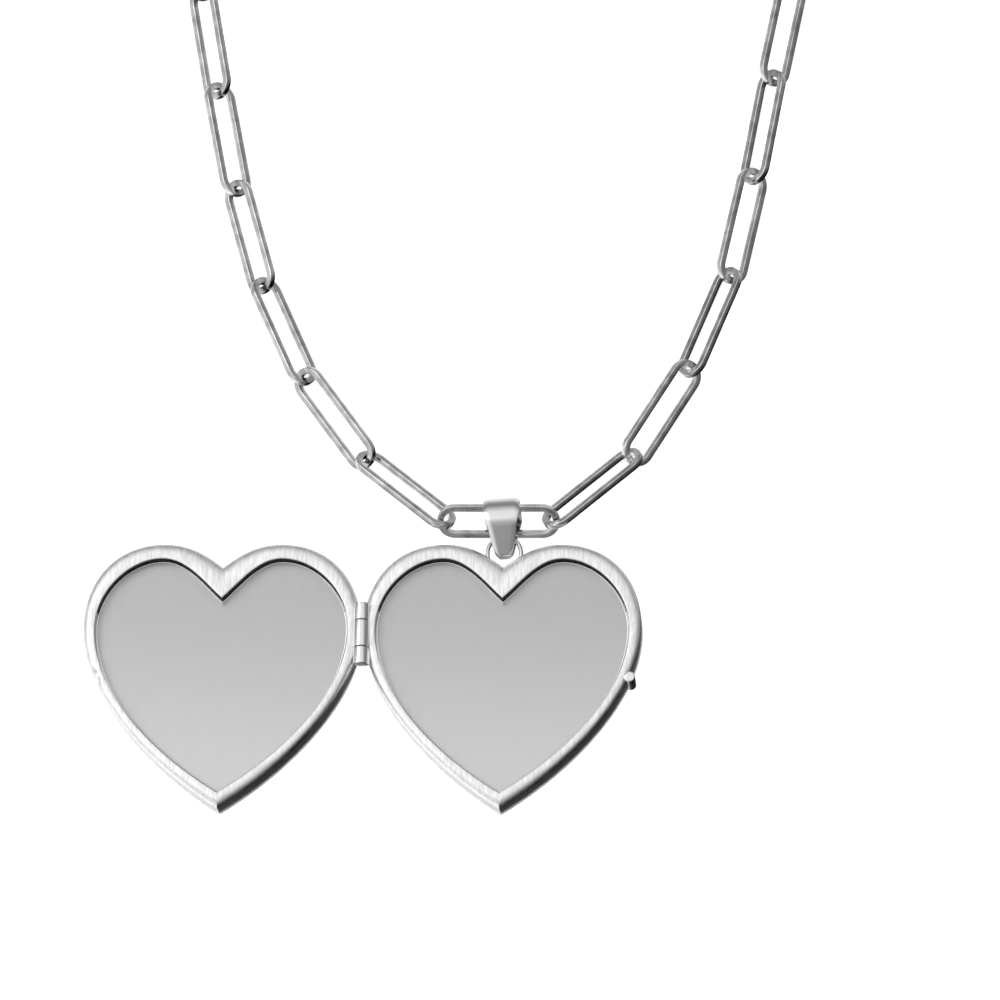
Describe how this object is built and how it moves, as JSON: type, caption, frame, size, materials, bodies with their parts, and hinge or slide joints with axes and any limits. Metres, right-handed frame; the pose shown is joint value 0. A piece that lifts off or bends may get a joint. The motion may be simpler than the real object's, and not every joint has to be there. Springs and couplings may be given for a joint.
{
  "type": "locket",
  "caption": "Heart-shaped hinged locket with a satin rim, two picture wells and a tapered bail, on a long-link chain with a lobster clasp.",
  "frame": {"origin": "middle of the back case's flat outer face, on the floor the open locket lies on", "axes": "+X across the open halves from the cover to the case, +Y from the heart tip to its cleft, +Z out of the open halves"},
  "size_m": [0.1258, 0.124, 0.0043],
  "materials": {
    "satin_silver": "satin",
    "polished_silver": "polished",
    "plate_silver": "fine satin"
  },
  "bodies": {
    "case": {"case_shell": "satin_silver", "case_rim": "satin_silver", "case_photo_plate": "plate_silver", "case_bezel": "polished_silver", "case_knuckle_upper": "polished_silver", "case_knuckle_seat_upper": "polished_silver", "case_knuckle_lower": "polished_silver", "case_knuckle_seat_lower": "polished_silver", "hinge_pin": "polished_silver", "catch_peg": "polished_silver", "bail_ring": "polished_silver"},
    "cover": {"cover_shell": "satin_silver", "cover_rim": "satin_silver", "cover_photo_plate": "plate_silver", "cover_bezel": "polished_silver", "cover_knuckle": "polished_silver", "cover_knuckle_seat": "polished_silver"},
    "bail": {"bail": "polished_silver"},
    "link_centre": {"chain_link_centre": "polished_silver"},
    "link_left_1": {"chain_link_left_1": "polished_silver"},
    "link_left_2": {"chain_link_left_2": "polished_silver"},
    "link_left_3": {"chain_link_left_3": "polished_silver"},
    "link_left_4": {"chain_link_left_4": "polished_silver"},
    "link_left_5": {"chain_link_left_5": "polished_silver"},
    "link_left_6": {"chain_link_left_6": "polished_silver"},
    "link_right_1": {"chain_link_right_1": "polished_silver"},
    "link_right_2": {"chain_link_right_2": "polished_silver"},
    "link_right_3": {"chain_link_right_3": "polished_silver"},
    "link_right_4": {"chain_link_right_4": "polished_silver"},
    "link_right_5": {"chain_link_right_5": "polished_silver"},
    "link_right_6": {"chain_link_right_6": "polished_silver"},
    "store_left": {"chain_store_left_near": "polished_silver", "chain_store_left_far": "polished_silver", "clasp_jump_ring": "polished_silver"},
    "store_right": {"chain_store_right_near": "polished_silver", "chain_store_right_far": "polished_silver", "clasp_end_ring": "polished_silver"},
    "clasp": {"clasp_body": "polished_silver", "clasp_pivot": "polished_silver"},
    "lever": {"clasp_lever": "polished_silver"}
  },
  "joints": [
    {"name": "cover_hinge", "type": "hinge", "parent": "case", "child": "cover", "pos_m": [-0.01253, 0.00383, 0.0035], "axis": [0, 1, 0], "range_deg": [0, 180]},
    {"name": "bail_swing", "type": "hinge", "parent": "case", "child": "bail", "pos_m": [-0.00011, 0.01315, 0.00208], "axis": [0.9976, 0.0698, 0], "range_deg": [0, 60]},
    {"name": "chain_slide", "type": "slide", "parent": "bail", "child": "link_centre", "axis": [1, 0, 0], "range_m": [-0.0012, 0.0012]},
    {"name": "link_left_1_turn", "type": "hinge", "parent": "link_centre", "child": "link_left_1", "pos_m": [-0.00532, 0.01466, 0.00208], "axis": [0, 0, 1], "range_deg": [-7, 18]},
    {"name": "link_left_2_turn", "type": "hinge", "parent": "link_left_1", "child": "link_left_2", "pos_m": [-0.01268, 0.02062, 0.00133], "axis": [0, 0, -1], "range_deg": [-18, 7]},
    {"name": "link_left_3_turn", "type": "hinge", "parent": "link_left_2", "child": "link_left_3", "pos_m": [-0.01833, 0.02826, 0.00133], "axis": [0, 0, 1], "range_deg": [-7, 18]},
    {"name": "link_left_4_turn", "type": "hinge", "parent": "link_left_3", "child": "link_left_4", "pos_m": [-0.02227, 0.0369, 0.00133], "axis": [0, 0, -1], "range_deg": [-18, 7]},
    {"name": "link_left_5_turn", "type": "hinge", "parent": "link_left_4", "child": "link_left_5", "pos_m": [-0.02489, 0.04604, 0.00133], "axis": [0, 0, 1], "range_deg": [-7, 18]},
    {"name": "link_left_6_turn", "type": "hinge", "parent": "link_left_5", "child": "link_left_6", "pos_m": [-0.02678, 0.05534, 0.00133], "axis": [0, 0, -1], "range_deg": [-18, 7]},
    {"name": "store_left_turn", "type": "hinge", "parent": "link_left_6", "child": "store_left", "pos_m": [-0.02851, 0.06469, 0.00133], "axis": [0, 0, 1], "range_deg": [-7, 18]},
    {"name": "link_right_1_turn", "type": "hinge", "parent": "link_centre", "child": "link_right_1", "pos_m": [0.00418, 0.01466, 0.00208], "axis": [0, 0, 1], "range_deg": [-18, 7]},
    {"name": "link_right_2_turn", "type": "hinge", "parent": "link_right_1", "child": "link_right_2", "pos_m": [0.01133, 0.02088, 0.00133], "axis": [0, 0, -1], "range_deg": [-7, 18]},
    {"name": "link_right_3_turn", "type": "hinge", "parent": "link_right_2", "child": "link_right_3", "pos_m": [0.01629, 0.02898, 0.00133], "axis": [0, 0, 1], "range_deg": [-18, 7]},
    {"name": "link_right_4_turn", "type": "hinge", "parent": "link_right_3", "child": "link_right_4", "pos_m": [0.01985, 0.03778, 0.00133], "axis": [0, 0, -1], "range_deg": [-7, 18]},
    {"name": "link_right_5_turn", "type": "hinge", "parent": "link_right_4", "child": "link_right_5", "pos_m": [0.02183, 0.04708, 0.00133], "axis": [0, 0, 1], "range_deg": [-18, 7]},
    {"name": "link_right_6_turn", "type": "hinge", "parent": "link_right_5", "child": "link_right_6", "pos_m": [0.02347, 0.05643, 0.00133], "axis": [0, 0, -1], "range_deg": [-7, 18]},
    {"name": "store_right_turn", "type": "hinge", "parent": "link_right_6", "child": "store_right", "pos_m": [0.02529, 0.06576, 0.00133], "axis": [0, 0, 1], "range_deg": [-18, 7]},
    {"name": "clasp_swivel", "type": "hinge", "parent": "store_left", "child": "clasp", "pos_m": [-0.05331, 0.10536, 0.001], "axis": [0, 0, 1], "range_deg": [-6, 6]},
    {"name": "clasp_lever_press", "type": "hinge", "parent": "clasp", "child": "lever", "pos_m": [-0.05341, 0.10295, 0.001], "axis": [0, 0, -1], "range_deg": [0, 18]}
  ]
}
